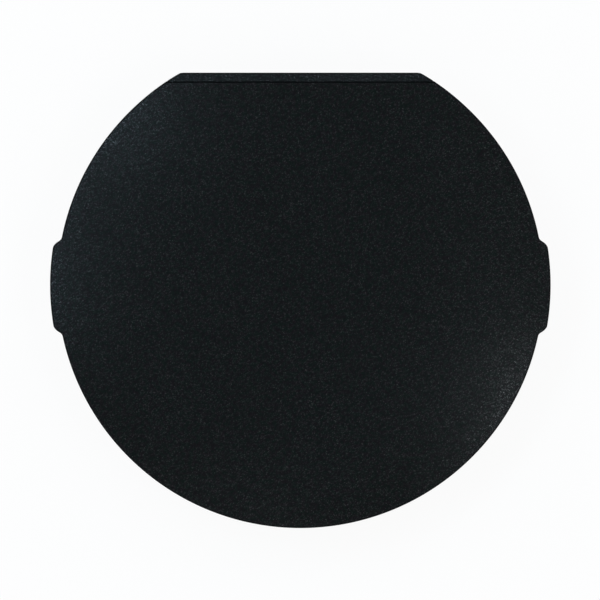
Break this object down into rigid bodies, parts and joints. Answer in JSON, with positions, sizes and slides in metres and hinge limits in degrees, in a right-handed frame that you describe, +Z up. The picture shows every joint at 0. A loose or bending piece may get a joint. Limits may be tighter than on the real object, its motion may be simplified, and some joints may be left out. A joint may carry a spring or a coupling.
{
  "type": "electric crepe maker",
  "caption": "Electric crepe maker: flat round griddle plate with one straight edge and side lugs, hinged at the rear over a heated drum base with a dial, switch and lamps.",
  "frame": {"origin": "centre of the footprint's bounding box, on the surface that the feet stand on", "axes": "+X to the user's right, +Y to the rear (the straight edge), +Z up"},
  "size_m": [0.3396, 0.309, 0.0761],
  "materials": {
    "cast_plate": "cast, dark non-stick coating with fine pale flecks",
    "bright_steel": "zinc plated",
    "plain_steel": "plain sheet",
    "dark_steel": "black satin paint",
    "brushed_drum": "brushed round the drum",
    "black_moulding": "fine moulded grain",
    "knob_moulding": "satin",
    "ceramic": null,
    "element_sheath": "oxidised steel sheath",
    "reflector_sheet": "bright rolled sheet",
    "sensor_aluminium": "turned",
    "brass_contact": "plain",
    "lamp_glass": "clear",
    "inlet_moulding": "smooth moulding",
    "copper_tube": null,
    "foot_rubber": "matt",
    "red_lens": "coloured clear plastic",
    "green_lens": "coloured clear plastic",
    "brown_wire": "silicone sleeve",
    "blue_wire": "silicone sleeve",
    "green_wire": "silicone sleeve, green and yellow"
  },
  "bodies": {
    "base": {"left_hinge_bracket": "dark_steel", "right_hinge_bracket": "dark_steel", "hinge_backing_plate": "plain_steel", "bracket_screws": "bright_steel", "base_tray": "black_moulding", "drum": "brushed_drum", "top_ring": "black_moulding", "rest_pads": "ceramic", "ring_screws": "bright_steel", "foot_screws": "bright_steel", "heating_element": "element_sheath", "element_pins": "bright_steel", "element_bushes": "ceramic", "reflector": "reflector_sheet", "loop_bracket_rivets": "bright_steel", "sensor_sleeve": "plain_steel", "sleeve_rivets": "bright_steel", "sensor_spring": "bright_steel", "control_box": "black_moulding", "control_screws": "bright_steel", "thermostat_body": "ceramic", "thermostat_tabs": "brass_contact", "thermostat_screws": "bright_steel", "switch_body": "knob_moulding", "switch_tabs": "brass_contact", "neon_lamps": "lamp_glass", "inlet_body": "inlet_moulding", "inlet_blades": "brass_contact", "inlet_screws": "bright_steel", "inlet_nuts": "bright_steel", "thermal_fuse": "ceramic", "fuse_strap": "plain_steel", "reflector_screws": "bright_steel", "earth_tag": "brass_contact", "capillary": "copper_tube", "rear_right_foot": "foot_rubber", "rear_left_foot": "foot_rubber", "front_left_foot": "foot_rubber", "front_right_foot": "foot_rubber", "loop_bracket_1": "plain_steel", "loop_bracket_2": "plain_steel", "loop_bracket_3": "plain_steel", "power_lens": "red_lens", "ready_lens": "green_lens", "live_wire": "brown_wire", "switch_wire": "brown_wire", "heater_wire": "brown_wire", "neutral_wire": "blue_wire", "fuse_wire": "blue_wire", "earth_wire": "green_wire"},
    "plate": {"cooking_plate": "cast_plate"},
    "plate_hinge": {"hinge_rod": "bright_steel", "rod_clips": "bright_steel"},
    "knob_body": {"knob": "knob_moulding", "thermostat_shaft": "bright_steel"},
    "rocker": {"switch_rocker": "knob_moulding"},
    "sensor": {"sensor_cap": "sensor_aluminium"}
  },
  "joints": [
    {"name": "plate_tilt", "type": "hinge", "parent": "base", "child": "plate_hinge", "pos_m": [0, 0.1465, 0.0615], "axis": [-1, 0, 0], "range_deg": [0, 80]},
    {"name": "plate_lift", "type": "slide", "parent": "plate_hinge", "child": "plate", "axis": [0, 0, 1], "range_m": [0, 0.05]},
    {"name": "knob_turn", "type": "hinge", "parent": "base", "child": "knob_body", "pos_m": [0, -0.1375, 0.032], "axis": [0, 1, 0], "range_deg": [0, 270]},
    {"name": "rocker_tilt", "type": "hinge", "parent": "base", "child": "rocker", "pos_m": [-0.036, -0.1362, 0.032], "axis": [1, 0, 0], "range_deg": [0, 24]},
    {"name": "sensor_press", "type": "slide", "parent": "base", "child": "sensor", "axis": [0, 0, -1], "range_m": [0, 0.002], "stiffness_N_per_m": 200, "springref_m": -0.004, "deforming": ["sensor_spring"]}
  ]
}
